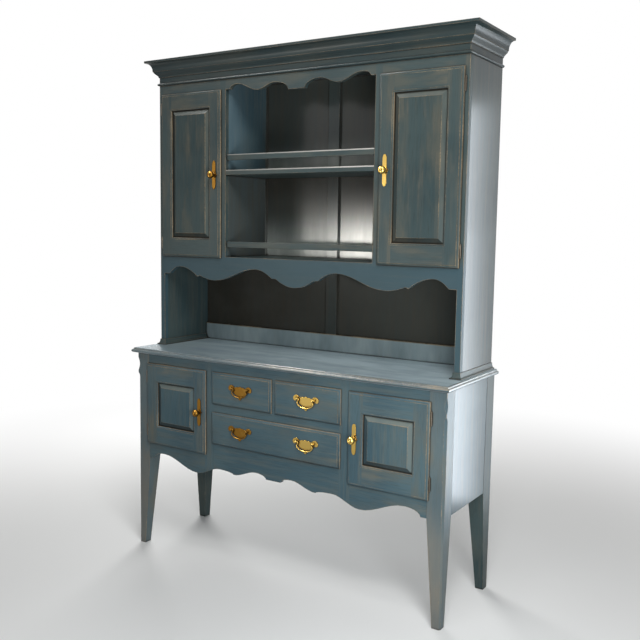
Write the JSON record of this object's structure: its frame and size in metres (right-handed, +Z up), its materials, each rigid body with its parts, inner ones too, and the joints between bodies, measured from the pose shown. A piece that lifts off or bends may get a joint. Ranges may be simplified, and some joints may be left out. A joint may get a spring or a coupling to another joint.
{
  "type": "china cabinet",
  "caption": "Painted china cabinet: a hutch with panelled doors, open plate shelves and scalloped valances on a tapered-leg base with doors and drawers, brass knobs and bail pulls.",
  "frame": {"origin": "centre of the footprint, on the floor", "axes": "+Z up, -Y out of the front, +X to the right as seen from the front"},
  "size_m": [1.4396, 0.456, 1.981],
  "materials": {
    "blue_paint": "satin slate-blue paint, rubbed through to brown wood at the edges",
    "bare_wood": "plain unpainted wood",
    "brass": "polished yellow brass",
    "hinge_bronze": "dark aged brass"
  },
  "bodies": {
    "carcass": {"front_leg_left": "blue_paint", "front_leg_right": "blue_paint", "rear_leg_left": "blue_paint", "rear_leg_right": "blue_paint", "base_side_left": "blue_paint", "base_side_right": "blue_paint", "base_back": "blue_paint", "base_floor": "blue_paint", "base_partition_left": "blue_paint", "base_partition_right": "blue_paint", "base_face_frame": "blue_paint", "base_top": "blue_paint", "drawer_centre_runner": "bare_wood", "hutch_side_left": "blue_paint", "hutch_side_right": "blue_paint", "hutch_shoe_left": "blue_paint", "hutch_shoe_right": "blue_paint", "hutch_face_frame": "blue_paint", "hutch_partition_left": "blue_paint", "hutch_partition_right": "blue_paint", "hutch_floor": "blue_paint", "hutch_shelf": "blue_paint", "plate_rail_upper": "blue_paint", "plate_rail_lower": "blue_paint", "hutch_back": "blue_paint", "cornice": "blue_paint", "base_left_hinge_upper": "hinge_bronze", "base_left_hinge_lower": "hinge_bronze", "base_right_hinge_upper": "hinge_bronze", "base_right_hinge_lower": "hinge_bronze", "hutch_left_hinge_upper": "hinge_bronze", "hutch_left_hinge_lower": "hinge_bronze", "hutch_right_hinge_upper": "hinge_bronze", "hutch_right_hinge_lower": "hinge_bronze"},
    "base_door_left": {"base_door_left_frame": "blue_paint", "base_door_left_panel": "blue_paint", "base_door_left_handle": "brass"},
    "base_door_right": {"base_door_right_frame": "blue_paint", "base_door_right_panel": "blue_paint", "base_door_right_handle": "brass"},
    "hutch_door_left": {"hutch_door_left_frame": "blue_paint", "hutch_door_left_panel": "blue_paint", "hutch_door_left_handle": "brass"},
    "hutch_door_right": {"hutch_door_right_frame": "blue_paint", "hutch_door_right_panel": "blue_paint", "hutch_door_right_handle": "brass"},
    "drawer_left": {"drawer_left_front": "blue_paint", "drawer_left_box": "bare_wood", "drawer_left_pull_plate": "brass"},
    "drawer_right": {"drawer_right_front": "blue_paint", "drawer_right_box": "bare_wood", "drawer_right_pull_plate": "brass"},
    "drawer_wide": {"drawer_wide_front": "blue_paint", "drawer_wide_box": "bare_wood", "drawer_wide_pull_plate_left": "brass", "drawer_wide_pull_plate_right": "brass"},
    "drawer_left_bail": {"drawer_left_bail": "brass"},
    "drawer_right_bail": {"drawer_right_bail": "brass"},
    "drawer_wide_bail_left": {"drawer_wide_bail_left": "brass"},
    "drawer_wide_bail_right": {"drawer_wide_bail_right": "brass"}
  },
  "joints": [
    {"name": "base_door_left_hinge", "type": "hinge", "parent": "carcass", "child": "base_door_left", "pos_m": [-0.6362, -0.187, 0.60025], "axis": [0, 0, -1], "range_deg": [0, 110]},
    {"name": "base_door_right_hinge", "type": "hinge", "parent": "carcass", "child": "base_door_right", "pos_m": [0.6362, -0.187, 0.60025], "axis": [0, 0, 1], "range_deg": [0, 110]},
    {"name": "hutch_door_left_hinge", "type": "hinge", "parent": "carcass", "child": "hutch_door_left", "pos_m": [-0.664, -0.0645, 1.52235], "axis": [0, 0, -1], "range_deg": [0, 110]},
    {"name": "hutch_door_right_hinge", "type": "hinge", "parent": "carcass", "child": "hutch_door_right", "pos_m": [0.664, -0.0645, 1.52235], "axis": [0, 0, 1], "range_deg": [0, 110]},
    {"name": "drawer_left_slide", "type": "slide", "parent": "carcass", "child": "drawer_left", "axis": [0, -1, 0], "range_m": [0, 0.29]},
    {"name": "drawer_right_slide", "type": "slide", "parent": "carcass", "child": "drawer_right", "axis": [0, -1, 0], "range_m": [0, 0.29]},
    {"name": "drawer_wide_slide", "type": "slide", "parent": "carcass", "child": "drawer_wide", "axis": [0, -1, 0], "range_m": [0, 0.29]},
    {"name": "drawer_left_bail_swing", "type": "hinge", "parent": "drawer_left", "child": "drawer_left_bail", "pos_m": [-0.1493, -0.2016, 0.71483], "axis": [-1, 0, 0], "range_deg": [0, 95]},
    {"name": "drawer_right_bail_swing", "type": "hinge", "parent": "drawer_right", "child": "drawer_right_bail", "pos_m": [0.1493, -0.2016, 0.71483], "axis": [-1, 0, 0], "range_deg": [0, 95]},
    {"name": "drawer_wide_bail_left_swing", "type": "hinge", "parent": "drawer_wide", "child": "drawer_wide_bail_left", "pos_m": [-0.1493, -0.2016, 0.55697], "axis": [-1, 0, 0], "range_deg": [0, 95]},
    {"name": "drawer_wide_bail_right_swing", "type": "hinge", "parent": "drawer_wide", "child": "drawer_wide_bail_right", "pos_m": [0.1493, -0.2016, 0.55697], "axis": [-1, 0, 0], "range_deg": [0, 95]}
  ]
}
